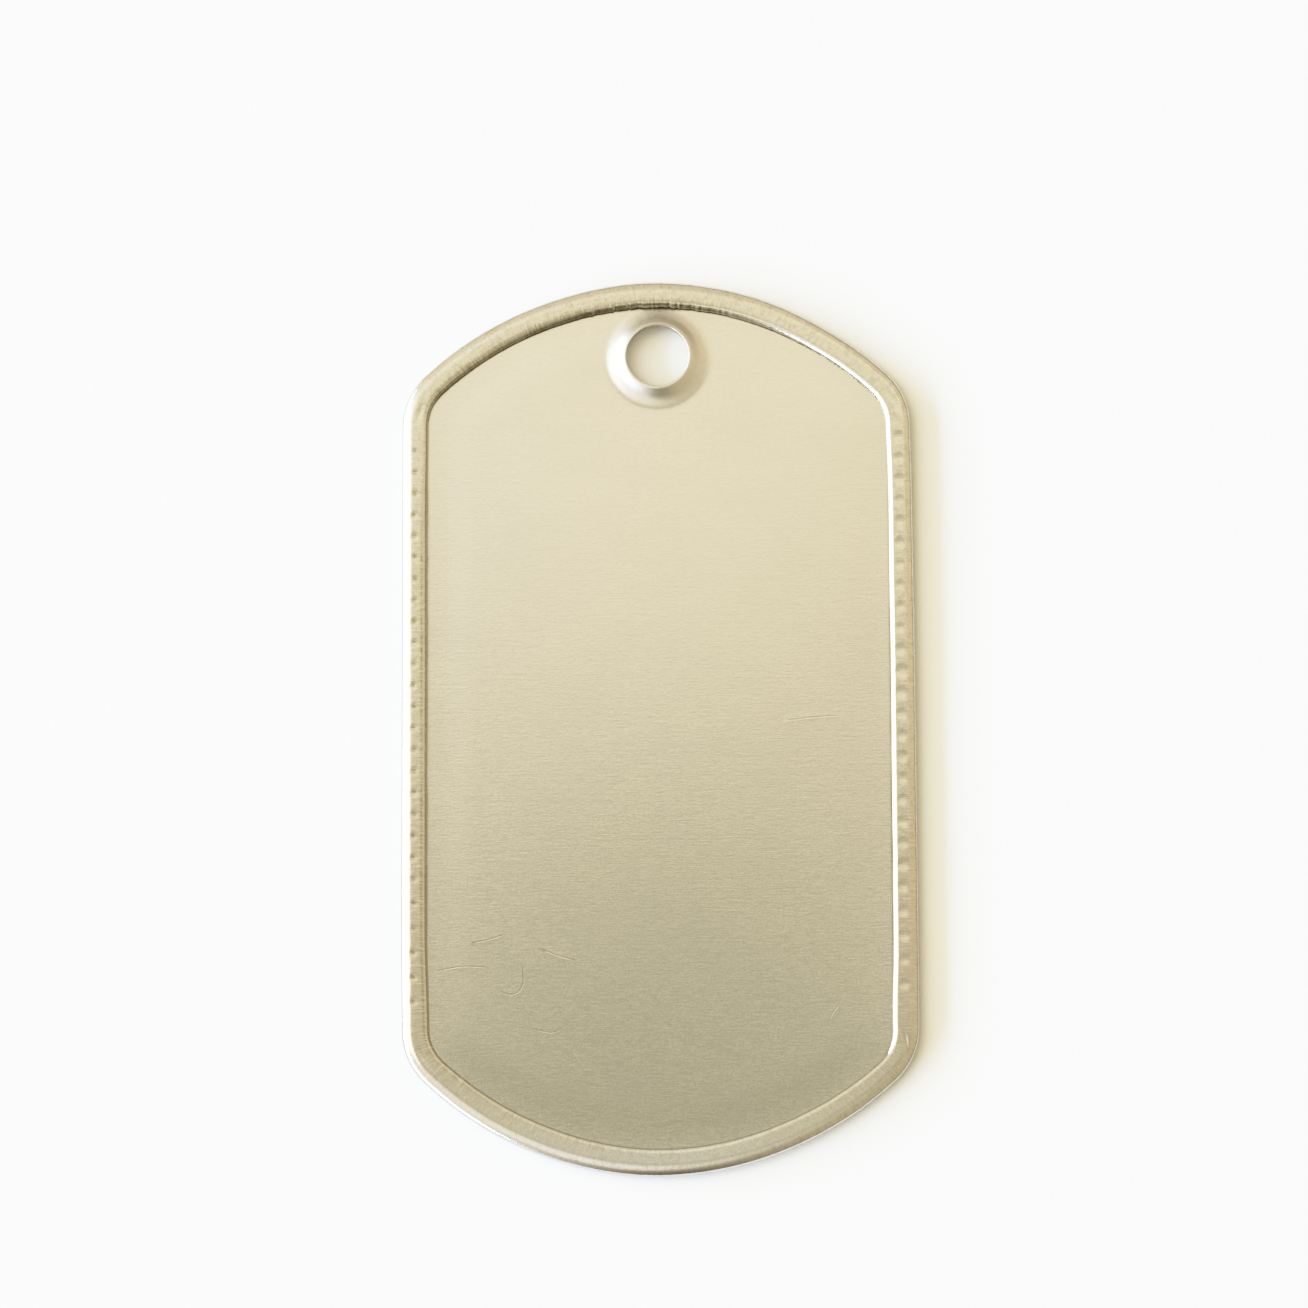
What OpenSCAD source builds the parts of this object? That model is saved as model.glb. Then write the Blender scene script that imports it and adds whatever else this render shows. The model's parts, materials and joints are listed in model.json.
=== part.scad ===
// Blank identification tag of stamped steel sheet, lying with its back up.
// Its edge is folded over onto the back, and the hole for the chain stands in a raised collar.
// The frame: +Z up through the back face, +Y towards the hole, origin under the middle of the front face.

/* [Outline] */
// Length over the folded rim, along Y
tag_length = 50.8; // [44:0.1:65]
// Width over the folded rim, along X
tag_width = 28.6; // [24:0.1:36]
// Rise of each end arc above the line between the corners it would meet without rounding
end_rise = 6.6; // [5:0.1:9]
// Outer radius of the four corners between the straight sides and the end arcs
corner_radius = 4.2; // [3:0.1:7]

/* [Sheet and folded rim] */
// Thickness of the steel sheet
sheet_thickness = 0.4; // [0.3:0.05:0.5]
// Width of the rim, from the outer edge to the raw edge of the folded sheet
rim_width = 1.45; // [1.2:0.05:2]
// Gap between the folded edge and the panel
fold_gap = 0.06; // [0.06:0.01:0.15]
// Radius that rounds the raw edge on the back, at most nine tenths of the sheet
raw_edge_radius = 0.35; // [0.1:0.05:0.4]

/* [Hole and collar] */
// Diameter of the hole for the chain
hole_diameter = 3.5; // [2.6:0.1:4.6]
// Width of the flat lip round the hole
lip_width = 0.2; // [0.1:0.05:0.3]
// Height of the lip above the panel
collar_height = 0.55; // [0.4:0.05:0.7]
// Slope of the collar's outside, in degrees from the panel
collar_slope = 33; // [30:1:36]
// Inside radius of the bend between the panel and the collar's slope, on the back
collar_bend = 0.9; // [0.5:0.1:0.9]
// Distance between the rim and the foot of the collar's slope
collar_to_rim = 0.25; // [0.25:0.05:5]

/* [Roller marks] */
// Distance between the marks that the edge roller left along the straight sides
mark_pitch = 1.22; // [0.9:0.01:3]
// Diameter of a mark
mark_diameter = 0.6; // [0.3:0.05:0.6]
// Depth of a mark
mark_depth = 0.03; // [0.02:0.01:0.06]

/* [Hidden] */
$fn = 96;
half_length = tag_length / 2;
half_width = tag_width / 2;
// Two thicknesses of sheet and the gap between them; the bend outside takes up the whole height
rim_height = 2 * sheet_thickness + fold_gap;
edge_radius = rim_height / 2;
fold_bottom = sheet_thickness + fold_gap;
raw_edge_round = min(raw_edge_radius, 0.9 * sheet_thickness);
// Each end is one large arc between two corner arcs that touch it and the straight sides
end_radius = (pow(half_width, 2) + pow(end_rise, 2)) / (2 * end_rise);
end_centre_y = half_length - end_radius;
corner_x = half_width - corner_radius;
corner_y = end_centre_y + sqrt(pow(end_radius - corner_radius, 2) - pow(corner_x, 2));
corner_angle = atan2(corner_y - end_centre_y, corner_x);
hole_radius = hole_diameter / 2;
lip_z = sheet_thickness + collar_height;
// The slope runs from the lip down to its foot, and the bend from there to the collar's outer radius
foot_height = collar_bend * (1 - cos(collar_slope));
foot_radius = hole_radius + lip_width + (collar_height - foot_height) / tan(collar_slope);
collar_radius = foot_radius + collar_bend * sin(collar_slope);
hole_y = half_length - rim_width - collar_to_rim - foot_radius;
// Marks lie along the middle of the rim's flat top, on the straight sides alone, as many as fit
mark_to_edge = (edge_radius + rim_width - raw_edge_round) / 2;
mark_count = floor((2 * corner_y - mark_diameter) / mark_pitch) + 1;
mark_sphere = (pow(mark_diameter / 2, 2) + pow(mark_depth, 2)) / (2 * mark_depth);
// What a cutting shape reaches past the surface it cuts
overcut = 1;

// Section of the sheet from x = 0 out to the edge at x = reach, with its edge folded over
module folded_section(reach) {
    square([reach - edge_radius, sheet_thickness]);
    // The gap between the two layers ends at the bend
    translate([reach - edge_radius, edge_radius])
        intersection() {
            circle(r = edge_radius);
            translate([0, -rim_height])
                square(2 * rim_height);
        }
    translate([reach - rim_width, fold_bottom])
        square([rim_width - edge_radius, sheet_thickness - raw_edge_round]);
    translate([reach - rim_width + raw_edge_round, rim_height - raw_edge_round]) {
        square([rim_width - edge_radius - raw_edge_round, raw_edge_round]);
        intersection() {
            circle(r = raw_edge_round);
            translate([-2 * raw_edge_round, 0])
                square(2 * raw_edge_round);
        }
    }
}

// Straight side on +X, from the middle line of the tag
module side() {
    translate([0, corner_y, 0])
        rotate([90, 0, 0])
            linear_extrude(height = 2 * corner_y)
                folded_section(half_width);
}

// Corner between the side on +X and the end on +Y
module corner() {
    translate([corner_x, corner_y, 0])
        rotate_extrude(angle = corner_angle)
            folded_section(corner_radius);
}

// Large arc of the end on +Y
module end_arc() {
    translate([0, end_centre_y, 0])
        rotate([0, 0, corner_angle])
            rotate_extrude(angle = 180 - 2 * corner_angle)
                folded_section(end_radius);
}

module folded_blank() {
    for (turn = [0, 180])
        rotate([0, 0, turn]) {
            side();
            end_arc();
            corner();
            mirror([1, 0, 0])
                corner();
        }
}

// Section of the sheet where it bends up towards the back, and goes on straight along the slope
module collar_section() {
    bend_outer = collar_bend + sheet_thickness;
    translate([collar_radius, bend_outer]) {
        intersection() {
            difference() {
                circle(r = bend_outer);
                circle(r = collar_bend);
            }
            polygon([
                [0, 0],
                [0, -2 * bend_outer],
                [-2 * bend_outer * tan(collar_slope), -2 * bend_outer]
            ]);
        }
        rotate([0, 0, -collar_slope])
            translate([-collar_radius, -bend_outer])
                square([collar_radius, sheet_thickness]);
    }
}

// The collar is cut off at the hole and at its flat lip
module collar() {
    rotate_extrude()
        intersection() {
            collar_section();
            translate([hole_radius, 0])
                square([collar_radius - hole_radius, lip_z]);
        }
}

module roller_marks() {
    for (side_sign = [-1, 1], i = [0 : mark_count - 1])
        translate([
            side_sign * (half_width - mark_to_edge),
            (i - (mark_count - 1) / 2) * mark_pitch,
            rim_height - mark_depth + mark_sphere
        ])
            sphere(r = mark_sphere);
}

module tag() {
    color("#b8ae90") {
        difference() {
            folded_blank();
            // The cut for the collar stops under the raw edge, which stands over its outer bend
            translate([0, hole_y, -overcut])
                cylinder(h = overcut + sheet_thickness + fold_gap / 2, r = collar_radius);
            roller_marks();
        }
        translate([0, hole_y, 0])
            collar();
    }
}

tag();
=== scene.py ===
import json
import math

import bpy
import numpy as np
from mathutils import Matrix, Vector, noise
from mathutils.geometry import delaunay_2d_cdt


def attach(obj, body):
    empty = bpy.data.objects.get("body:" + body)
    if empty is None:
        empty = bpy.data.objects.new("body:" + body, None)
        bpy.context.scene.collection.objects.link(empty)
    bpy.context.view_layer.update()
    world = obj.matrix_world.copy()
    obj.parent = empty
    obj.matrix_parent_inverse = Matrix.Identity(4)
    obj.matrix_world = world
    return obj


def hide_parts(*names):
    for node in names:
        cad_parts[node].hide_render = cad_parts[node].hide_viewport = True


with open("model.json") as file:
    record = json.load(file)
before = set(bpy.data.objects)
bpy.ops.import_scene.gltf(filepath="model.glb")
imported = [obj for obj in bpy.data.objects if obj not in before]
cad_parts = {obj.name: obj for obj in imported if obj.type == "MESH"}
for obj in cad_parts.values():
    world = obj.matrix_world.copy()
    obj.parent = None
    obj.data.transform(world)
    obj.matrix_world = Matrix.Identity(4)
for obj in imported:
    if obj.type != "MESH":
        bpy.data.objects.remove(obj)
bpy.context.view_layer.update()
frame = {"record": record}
mm = 0.001
quarterTurn, halfTurn = math.pi / 2, math.pi

# The blank: outline, sheet and folded rim
blank = dict(
    length=50.8 * mm,
    width=28.6 * mm,
    endRise=6.6 * mm,  # how far the end arcs stand out past their corners
    cornerRadius=4.2 * mm,
    sheet=0.4 * mm,
    foldGap=0.06 * mm,  # between the folded edge and the panel
    rimWidth=1.45 * mm,  # outer edge to raw edge
    shoulder=0.3 * mm,  # rounds the raw edge on the back
    burr=0.04 * mm,  # rounds the raw edge where it meets the panel
    nose=0.34 * mm,  # radius of the outer bend at its furthest
    crown=0.9 * mm,  # and where it flattens out above and below
    sideStep=0.1 * mm,  # mesh spacing along the straight sides
    cornerStep=0.1 * mm,
    endStep=0.12 * mm,
    crimpStep=0.07 * mm,  # finer, where the sheet is crimped over the top end
    crimpReach=math.radians(16),  # either side of the middle of the top end
    sharpFrom=math.radians(40),  # edges that turn by more than this aren't shaded smooth
)

halfWidth = blank["width"] / 2
halfLength = blank["length"] / 2
rimHeight = 2 * blank["sheet"] + blank["foldGap"]
foldBottom = blank["sheet"] + blank["foldGap"]
aboveNose = rimHeight / 2 - blank["nose"]
landStart = blank["nose"] + math.sqrt(aboveNose * (2 * blank["crown"] - blank["nose"] - rimHeight / 2))
landEnd = blank["rimWidth"] - blank["shoulder"]
crownTurn = math.asin((landStart - blank["nose"]) / (blank["crown"] - blank["nose"]))
endRadius = (halfWidth**2 + blank["endRise"] ** 2) / (2 * blank["endRise"])
endCentreY = halfLength - endRadius
cornerX = halfWidth - blank["cornerRadius"]
cornerY = endCentreY + math.sqrt((endRadius - blank["cornerRadius"]) ** 2 - cornerX**2)
cornerAngle = math.atan2(cornerY - endCentreY, cornerX)


def smooth(value):
    value = np.clip(value, 0, 1)
    return value * value * (3 - 2 * value)


def fade(value, start, end):
    # 0 up to start and 1 from end on, also where end is the lower of the two
    return smooth((value - start) / (end - start))


def edgeDistance(x, y):
    # how far a point inside the outline is from the outer edge
    x, y = np.abs(x), np.abs(y)
    side = halfWidth - x
    end = endRadius - np.hypot(x, y - endCentreY)
    corner = blank["cornerRadius"] - np.hypot(x - cornerX, y - cornerY)
    onEnd = np.arctan2(y - endCentreY, x) > cornerAngle
    return np.where(y <= cornerY, side, np.where(onEnd, end, corner))


# The panel between the rims
panel = dict(
    bulge=0.2 * mm,  # the sheet springs up a little in its middle
    bulgeStart=2.5 * mm,  # how far from the rim it takes to start
    startsAt=1.85 * mm,  # from the outer edge, where the rim's mesh hands over
    fineBefore=0.06 * mm,  # the rim's mesh is finer from here before the raw edge
    fineAfter=0.1 * mm,  # to here under the folded edge
    gridStep=0.45 * mm,
    ringsPast=0.25 * mm,  # the collar's rings of points go on past its foot
    ringClear=0.04 * mm,
    frontStartsAt=0.9 * mm,
    frontGridStep=1.2 * mm,
    frontRings=10,
    frontRingClear=0.1 * mm,
)


def bulgeAt(x, y):
    inside = edgeDistance(x, y) - blank["rimWidth"]
    flatX = halfWidth - blank["rimWidth"]
    flatY = halfLength - blank["rimWidth"]
    dome = (1 - (x / flatX) ** 2) * (1 - (y / flatY) ** 2)
    return panel["bulge"] * np.clip(dome, 0, 1) * smooth(inside / panel["bulgeStart"])


# The hole and its collar, placed where the record says the chain goes
chainHole = next(m for m in frame["record"]["mounts"] if m["name"] == "chain_hole")
collar = dict(
    x=chainHole["pos_m"][0],
    y=chainHole["pos_m"][1],
    holeRadius=chainHole["dims"]["r_mm"] * mm,
    lipWidth=0.13 * mm,
    height=0.48 * mm,
    slope=math.radians(33),
    bendReach=0.82 * mm,  # how far the bend at its foot runs out
    bendEase=2.2,  # 2 for an even bend, more for one that fades out
    lipRound=0.03 * mm,
    lipRoundSteps=3,
    lipSoftness=0.012 * mm,
    workedPast=0.2 * mm,  # how far past the foot the metal looks stretched
    workedFade=0.6 * mm,
    spokes=120,
    rings=26,
)


def collarRadii():
    # where the slope ends, how high it still is there, and where the bend at its foot has run out
    footHeight = math.tan(collar["slope"]) * collar["bendReach"] / collar["bendEase"]
    slopeStart = collar["holeRadius"] + collar["lipWidth"]
    foot = slopeStart + (collar["height"] - footHeight) / math.tan(collar["slope"])
    return foot, footHeight, foot + collar["bendReach"]


def collarRise(x, y, underside=False):
    # height of the collar over the flat panel, or of its hollow over the flat front
    foot, footHeight, outer = collarRadii()
    r = np.hypot(x - collar["x"], y - collar["y"])
    bent = np.clip((outer - r) / collar["bendReach"], 0, 1)
    rise = footHeight * bent ** collar["bendEase"] + np.clip(foot - r, 0, None) * math.tan(collar["slope"])
    if underside:
        steepness = math.tan(collar["slope"]) * bent ** (collar["bendEase"] - 1)
        return rise + blank["sheet"] * (1 - np.sqrt(1 + steepness**2))
    soft = collar["lipSoftness"]
    return -soft * np.logaddexp(-rise / soft, -collar["height"] / soft) * (r < outer)


def topHeight(x, y):
    return blank["sheet"] + bulgeAt(x, y) + collarRise(x, y)


def frontHeight(x, y):
    return bulgeAt(x, y) + collarRise(x, y, underside=True)


def outlineStations():
    # x, y, outward x, outward y, distance along, 1 on the ends and corners and 0 on the straight sides
    rows = []
    walked = 0.0

    def line(x, startY, endY, outwardX):
        nonlocal walked
        length = abs(endY - startY)
        steps = math.ceil(length / blank["sideStep"])
        for i in range(steps):
            y = startY + (endY - startY) * i / steps
            rows.append((x, y, outwardX, 0, walked + length * i / steps, 0))
        walked += length

    def arc(centreX, centreY, radius, start, end, step):
        nonlocal walked
        length = radius * (end - start)
        steps = math.ceil(length / step)
        for i in range(steps):
            a = start + (end - start) * i / steps
            c, s = math.cos(a), math.sin(a)
            rows.append((centreX + radius * c, centreY + radius * s, c, s, walked + length * i / steps, 1))
        walked += length

    radius, cornerStep, endStep = blank["cornerRadius"], blank["cornerStep"], blank["endStep"]
    crimp = blank["crimpReach"]
    line(halfWidth, -cornerY, cornerY, 1)
    arc(cornerX, cornerY, radius, 0, cornerAngle, cornerStep)
    arc(0, endCentreY, endRadius, cornerAngle, quarterTurn - crimp, endStep)
    arc(0, endCentreY, endRadius, quarterTurn - crimp, quarterTurn + crimp, blank["crimpStep"])
    arc(0, endCentreY, endRadius, quarterTurn + crimp, halfTurn - cornerAngle, endStep)
    arc(-cornerX, cornerY, radius, halfTurn - cornerAngle, halfTurn, cornerStep)
    line(-halfWidth, cornerY, -cornerY, -1)
    arc(-cornerX, -cornerY, radius, halfTurn, halfTurn + cornerAngle, cornerStep)
    arc(0, -endCentreY, endRadius, halfTurn + cornerAngle, 2 * halfTurn - cornerAngle, endStep)
    arc(cornerX, -cornerY, radius, 2 * halfTurn - cornerAngle, 2 * halfTurn, cornerStep)
    return np.array(rows), walked


def rimSection():
    # u runs inwards from the outer edge; each row is u, z, its normal and its part,
    # and each part is given with its number of steps
    rows = []

    def flat(part, start, end, steps, normal):
        for i in range(steps):
            t = i / steps
            rows.append((start[0] + (end[0] - start[0]) * t, start[1] + (end[1] - start[1]) * t, *normal, part))

    def arc(part, centre, radius, start, end, steps, facing=1):
        # the angle 0 points inwards, a quarter turn up and half a turn outwards
        for i in range(steps):
            a = start + (end - start) * i / steps
            c, s = math.cos(a), math.sin(a)
            rows.append((centre[0] + radius * c, centre[1] + radius * s, facing * c, facing * s, part))

    sheet, gap, width = blank["sheet"], blank["foldGap"], blank["rimWidth"]
    nose, crown, shoulder, burr = blank["nose"], blank["crown"], blank["shoulder"], blank["burr"]
    fineStart, fineEnd = width + panel["fineBefore"], width - panel["fineAfter"]
    closes = rimHeight / 2
    flat("floor", (panel["startsAt"], sheet), (fineStart, sheet), 4, (0, 1))
    flat("floor", (fineStart, sheet), (fineEnd, sheet), 2, (0, 1))
    flat("floor", (fineEnd, sheet), (closes, sheet), 3, (0, 1))
    arc("hollow", (closes, closes), gap / 2, -quarterTurn, -3 * quarterTurn, 3, -1)
    flat("hollow", (closes, foldBottom), (width - burr, foldBottom), 3, (0, -1))
    arc("rawEdge", (width - burr, foldBottom + burr), burr, -quarterTurn, 0, 3)
    flat("lip", (width, foldBottom + burr), (width, rimHeight - shoulder), 1, (1, 0))
    arc("shoulder", (width - shoulder, rimHeight - shoulder), shoulder, 0, quarterTurn, 13)
    flat("land", (width - shoulder, rimHeight), (landStart, rimHeight), 6, (0, 1))
    arc("bend", (landStart, rimHeight - crown), crown, quarterTurn, quarterTurn + crownTurn, 6)
    arc("bend", (nose, closes), nose, quarterTurn + crownTurn, halfTurn, 7)
    arc("outside", (nose, closes), nose, halfTurn, 3 * quarterTurn - crownTurn, 4)
    arc("outside", (landStart, crown), crown, 3 * quarterTurn - crownTurn, 3 * quarterTurn, 3)
    rows.append((landStart, 0, 0, -1, "under"))
    rows.append((panel["frontStartsAt"], 0, 0, -1, "under"))
    parts = [row[4] for row in rows]
    section = np.array([row[:4] for row in rows])
    across = np.concatenate([[0], np.cumsum(np.hypot(*np.diff(section[:, :2], axis=0).T))])
    return section, parts, across


def noiseRound(stations, total, wavelength, seed):
    # noise along the outline that meets itself where it closes
    radius = total / (2 * math.pi)
    turns = stations[:, 4] / radius
    at = [Vector((radius * math.cos(a) / wavelength, radius * math.sin(a) / wavelength, seed)) for a in turns]
    return np.array([noise.noise(p) for p in at])


# No blank is folded evenly: places round it, in mm from the lower end of the right side going up,
# how far the outer edge lies inside the drawn outline there, and how much further in the raw edge reaches
uneven = dict(
    places=[
        (0, 0.0, 0.08), (4, 0.0, -0.03), (20, 0.04, -0.03),  # right side
        (31, 0.12, 0.03), (35, 0.2, 0.15), (42, 0.2, 0.15),  # top right
        (46, 0.04, 0.04), (53, -0.1, -0.08), (58, 0.0, 0.0),  # top
        (68, 0.0, -0.05), (70, 0.0, 0.02), (74, 0.0, -0.04), (99, 0.0, 0.0),  # top left, left side
        (104, 0.06, 0.15), (108, 0.09, 0.28), (115, 0.05, 0.25), (121, -0.02, 0.11),  # bottom left, bottom
        (130, 0.08, 0.16), (135, 0.06, 0.05), (138, 0.02, -0.05),  # bottom right
    ],
    rounding=1.2,  # how far either side the change at a place is spread, in mm
    samples=9,
)


def evenOut(stations, total, column):
    # one column of the uneven places along the outline, with the joints between them rounded off
    places = np.array([row[0] for row in uneven["places"]]) * mm
    values = np.array([row[column] for row in uneven["places"]]) * mm
    walked = stations[:, 4]
    reach = np.linspace(-uneven["rounding"], uneven["rounding"], uneven["samples"]) * mm
    return np.mean([np.interp(walked + r, places, values, period=total) for r in reach], 0)


# Dirt and painted shade on the rim, from 0 for none to 1 for all that the soil colour gives; the darkening of
# the crease is partly dirt and partly painted shade, and that over the top end's shoulder and land is painted
# shade
grimeAndShade = dict(
    usual=0.75,  # how dark the crease along the raw edge is painted, partly dirt and partly painted shade
    patches=0.5,  # and how much that changes from place to place
    patchLength=1.5 * mm,
    lessLow=0.45,  # less of it towards the lower end
    lessLowFrom=(-17 * mm, -20 * mm),
    mostDirt=1.2,
    crease=1.3,  # over 1, so that most of the crease is filled
    ontoPanel=(0.1 * mm, -0.02 * mm),  # fades out from the raw edge onto the panel
    upShoulder=(0.5, 0.9),  # and on its way up the shoulder
    topFrom=(17 * mm, 22 * mm),  # at the top end the painted shade reaches over the shoulder and onto the land, in place of the dark reflection there
    topLeftOf=(7 * mm, 3 * mm),
    overShoulder=0.35,
    shoulderFrom=(0, 0.3),
    overLand=0.35,
    landFrom=(0.25 * mm, 0.45 * mm),
    cleanLeftOf=(0, -4 * mm),  # on the left side below the top end, less of it goes up the shoulder
    cleanBelow=(15 * mm, 9 * mm),
    cleaned=0.85,
    landLine=0.7,  # up to a darker line where the flat land begins, on the left side
    landLineWidth=0.07 * mm,
)


def rimDirtAndShade(stations, total, section, partOf, floor, low):
    # low runs from 0 at the height of the rim's top to 1 at the bottom of the folded edge
    x, y = stations[:, 0], stations[:, 1]
    u = section[:, 0]
    along = grimeAndShade["usual"] + grimeAndShade["patches"] * noiseRound(stations, total, grimeAndShade["patchLength"], seed=9.2)
    along = along * (1 - grimeAndShade["lessLow"] * fade(y, *grimeAndShade["lessLowFrom"]))
    # painted shade over the top end's shoulder and land
    atTop = fade(y, *grimeAndShade["topFrom"]) * fade(x, *grimeAndShade["topLeftOf"])
    leftSide = fade(x, *grimeAndShade["cleanLeftOf"]) * fade(y, *grimeAndShade["cleanBelow"])
    # the crease along the raw edge: partly dirt, partly painted shade
    inCrease = np.where(np.isin(partOf, ["rawEdge", "lip", "hollow"]), grimeAndShade["crease"], 0.0)
    nearPanel, farOnPanel = grimeAndShade["ontoPanel"]
    onFloor = fade(u, blank["rimWidth"] + nearPanel, blank["rimWidth"] + farOnPanel)
    inCrease = np.where(floor, onFloor, inCrease)
    # painted shade up the lower part of the shoulder, on from the crease
    onShoulder = partOf == "shoulder"
    upShoulder = np.where(onShoulder, fade(low, *grimeAndShade["upShoulder"]), 0)
    overEdge = np.where(onShoulder, grimeAndShade["overShoulder"] * (1 + fade(low, *grimeAndShade["shoulderFrom"])), 0)
    onLand = grimeAndShade["overLand"] * fade(u - landStart, *grimeAndShade["landFrom"])
    overEdge = np.where(partOf == "land", onLand, overEdge)
    landLine = np.exp(-(((u - landEnd) / grimeAndShade["landLineWidth"]) ** 2)) * np.isin(partOf, ["shoulder", "land"])
    most = np.clip(along, 0, grimeAndShade["mostDirt"])
    dirt = np.maximum(np.outer(most, inCrease), np.outer(atTop * along, overEdge))
    dirt = np.maximum(dirt, np.outer(most * (1 - grimeAndShade["cleaned"] * leftSide), upShoulder))
    return np.maximum(dirt, np.outer(grimeAndShade["landLine"] * leftSide * along, landLine))


# What the edge roller and the crimping left on the rim
roll = dict(
    markPitch=1.22 * mm,
    lowerPitch=1.38 * mm,  # the marks stand wider below this place
    lowerFrom=-8.5 * mm,
    lastMark=-16 * mm,
    markDepth=0.018 * mm,
    depthVaries=0.5,
    nudge=0.06 * mm,  # how far a mark may lie off its line
    wear=0.8,
    wearVaries=0.4,
    wearReach=0.6,  # of the mark's radius
    marks=[  # dirt stayed in the marks of the left side, and those of the right are painted brighter, a painted highlight
        dict(side=1, first=16.3 * mm, toEdge=0.83 * mm, diameter=0.7 * mm, soil=0, rub=0.6),
        dict(side=-1, first=15.7 * mm, toEdge=0.72 * mm, diameter=0.42 * mm, soil=0.75, rub=0),
    ],
    edgeWander=0.018 * mm,  # the raw edge isn't quite straight
    wanderLength=6 * mm,
    fineWander=0.4,  # share of a wander five times finer
    crimpDepth=0.06 * mm,
    crimpLength=0.28 * mm,
    fineCrimp=0.6,  # share of shorter crimps among them
    fineCrimpLength=0.45,  # of the length of the others
    crimpFade=math.radians(7),
    crimpElsewhere=0.25,  # how much of it the corners and the rest of the ends have
    pinchInwards=0.4,  # how far the edge is drawn in, as a share of the dent's depth
    pinches=[  # where the sheet was gathered round a corner
        dict(side=1, along=-18.2 * mm, toEdge=0.62 * mm, length=1.2 * mm, width=0.2 * mm, depth=0.05 * mm,
             lean=0.22 * mm),
        dict(side=1, along=18.3 * mm, toEdge=0.8 * mm, length=1.1 * mm, width=0.3 * mm, depth=0.02 * mm),
        dict(side=-1, along=17.9 * mm, toEdge=0.9 * mm, length=1.0 * mm, width=0.3 * mm, depth=0.02 * mm),
        dict(side=-1, along=-18.6 * mm, toEdge=0.9 * mm, length=1.2 * mm, width=0.25 * mm, depth=0.02 * mm),
    ],
)


def insideOutline(stations, u):
    # x and y of the points that lie u in from the drawn outline at each station
    return stations[:, :1] - stations[:, 2:3] * u, stations[:, 1:2] - stations[:, 3:4] * u


def wanderAndCrimp(stations, total, section, partOf, low):
    # u and z of every point, with the uneven edges and the short radial folds
    u = np.tile(section[:, 0], (len(stations), 1))
    z = np.tile(section[:, 1], (len(stations), 1))
    folded = np.clip((section[:, 0] - landStart) / (landEnd - landStart), 0, 1)
    folded = folded * (section[:, 1] > blank["sheet"] + blank["foldGap"] / 2)
    wander = noiseRound(stations, total, roll["wanderLength"], seed=3.1)
    wander += roll["fineWander"] * noiseRound(stations, total, roll["wanderLength"] / 5, seed=7.7)
    outer, inner = evenOut(stations, total, 1), evenOut(stations, total, 2)
    u += np.outer(outer, np.clip(1 - section[:, 0] / blank["rimWidth"], 0, 1))
    u += np.outer(wander * roll["edgeWander"] + inner, folded)

    # the folds are deepest in the middle of the top end
    fold = noiseRound(stations, total, roll["crimpLength"], seed=1.3)
    fineLength = roll["crimpLength"] * roll["fineCrimpLength"]
    fold += roll["fineCrimp"] * noiseRound(stations, total, fineLength, seed=5.9)
    fromTop = np.arctan2(np.abs(stations[:, 0]), stations[:, 1] - endCentreY)
    strength = stations[:, 5] * roll["crimpElsewhere"]
    strength += smooth((blank["crimpReach"] - fromTop) / roll["crimpFade"]) * (stations[:, 1] > 0)
    crimped = np.isin(partOf, ["rawEdge", "lip", "shoulder"])
    depth = np.outer(fold * strength * roll["crimpDepth"], np.sqrt(low) * crimped)
    u += depth * section[:, 2]
    z += depth * section[:, 3]
    return u, z


def rollMarks(x, y, z, ontop, dirt, rubbed):
    # the roller's marks, cut by a ball into the top of both straight sides, with dirt in those of the left side
    # and a painted highlight on those of the right
    for marks in roll["marks"]:
        side, reach = marks["side"], marks["diameter"] / 2
        ball = (reach**2 + roll["markDepth"] ** 2) / (2 * roll["markDepth"])
        markY, number = marks["first"], 0
        while markY > roll["lastMark"]:
            number += 1
            varies = roll["depthVaries"] * noise.noise(Vector((number * 1.7, side, 0.4)))
            depth = roll["markDepth"] * (1 + varies)
            nudge = roll["nudge"] * noise.noise(Vector((number * 2.3, side, 4.4)))
            off2 = (x - side * (halfWidth - marks["toEdge"] - nudge)) ** 2 + (y - markY) ** 2
            cut = rimHeight - depth + ball - np.sqrt(np.clip(ball**2 - off2, 0, None))
            z[:] = np.where(ontop & (off2 < (2 * reach) ** 2), np.minimum(z, cut), z)
            wear = roll["wear"] + roll["wearVaries"] * noise.noise(Vector((number * 3.1, side, 8.4)))
            near = np.exp(-off2 / (roll["wearReach"] * reach) ** 2) * ontop * wear
            dirt += near * marks["soil"]
            # painted highlight on the right side's marks
            rubbed += near * marks["rub"]
            markY -= roll["markPitch"] if markY > roll["lowerFrom"] else roll["lowerPitch"]


def pinchCorners(x, y, u, z, ontop):
    for pinch in roll["pinches"]:
        alongEdge = (y - pinch["along"]) / (pinch["length"] / 2)
        acrossEdge = (u - pinch["toEdge"] - pinch.get("lean", 0) * alongEdge) / (pinch["width"] / 2)
        dent = np.exp(-(alongEdge**2) - acrossEdge**2) * (x * pinch["side"] > 0) * ontop
        z -= pinch["depth"] * dent
        u -= roll["pinchInwards"] * pinch["depth"] * dent


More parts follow.
